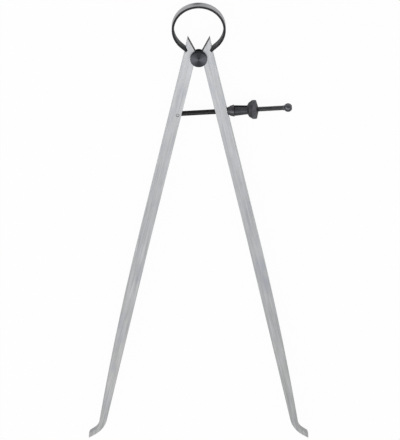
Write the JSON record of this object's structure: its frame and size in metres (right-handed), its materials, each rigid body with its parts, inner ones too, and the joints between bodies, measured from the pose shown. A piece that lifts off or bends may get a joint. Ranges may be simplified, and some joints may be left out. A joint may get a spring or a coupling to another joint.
{
  "type": "spring inside caliper",
  "caption": "Spring caliper with two long flat legs, out-turned feet, a bow spring, a fulcrum stud and an adjusting screw with a knurled nut.",
  "frame": {"origin": "middle of the object's box at its lowest level, under the rim of the adjusting nut", "axes": "+Y from the feet to the bow spring, +Z out of the front face of the legs, along the fulcrum axis"},
  "size_m": [0.1484, 0.331, 0.0128],
  "materials": {
    "ground_steel": "ground along the leg, satin",
    "blackened_steel": "black oxide, softly shining"
  },
  "bodies": {
    "left_leg": {"left_leg": "ground_steel", "pivot_pin": "blackened_steel", "bow_spring": "blackened_steel"},
    "right_leg": {"right_leg": "ground_steel"},
    "stud": {"fulcrum_stud": "blackened_steel"},
    "screw": {"adjusting_screw": "blackened_steel", "ball_end": "blackened_steel"},
    "washer": {"swivel_washer": "blackened_steel"},
    "nut": {"adjusting_nut": "blackened_steel"}
  },
  "joints": [
    {"name": "leg_open", "type": "hinge", "parent": "left_leg", "child": "right_leg", "pos_m": [0, 0.12592, 0.0064], "axis": [0, 0, 1], "range_deg": [-25, 22], "deforming": ["bow_spring"]},
    {"name": "stud_turn", "type": "hinge", "parent": "left_leg", "child": "stud", "pos_m": [0, 0.12592, 0.0064], "axis": [0, 0, 1], "range_deg": [-12.5, 11]},
    {"name": "screw_swing", "type": "hinge", "parent": "left_leg", "child": "screw", "pos_m": [-0.01409, 0.08264, 0.0064], "axis": [0, 0, 1], "range_deg": [-12.96, 11.41]},
    {"name": "washer_slide", "type": "slide", "parent": "screw", "child": "washer", "axis": [0.998, 0.0639, 0], "range_m": [-0.01846, 0.01625]},
    {"name": "nut_spin", "type": "hinge", "parent": "washer", "child": "nut", "pos_m": [0.02077, 0.08487, 0.0064], "axis": [0.998, 0.0639, 0], "continuous": true}
  ],
  "couplings": [
    {"joint": "stud_turn", "follows": "leg_open", "ratio": 0.5},
    {"joint": "screw_swing", "follows": "leg_open", "ratio": 0.51828},
    {"joint": "washer_slide", "follows": "leg_open", "m_per_rad": 0.042298},
    {"joint": "nut_spin", "follows": "leg_open", "ratio": 442.95}
  ]
}
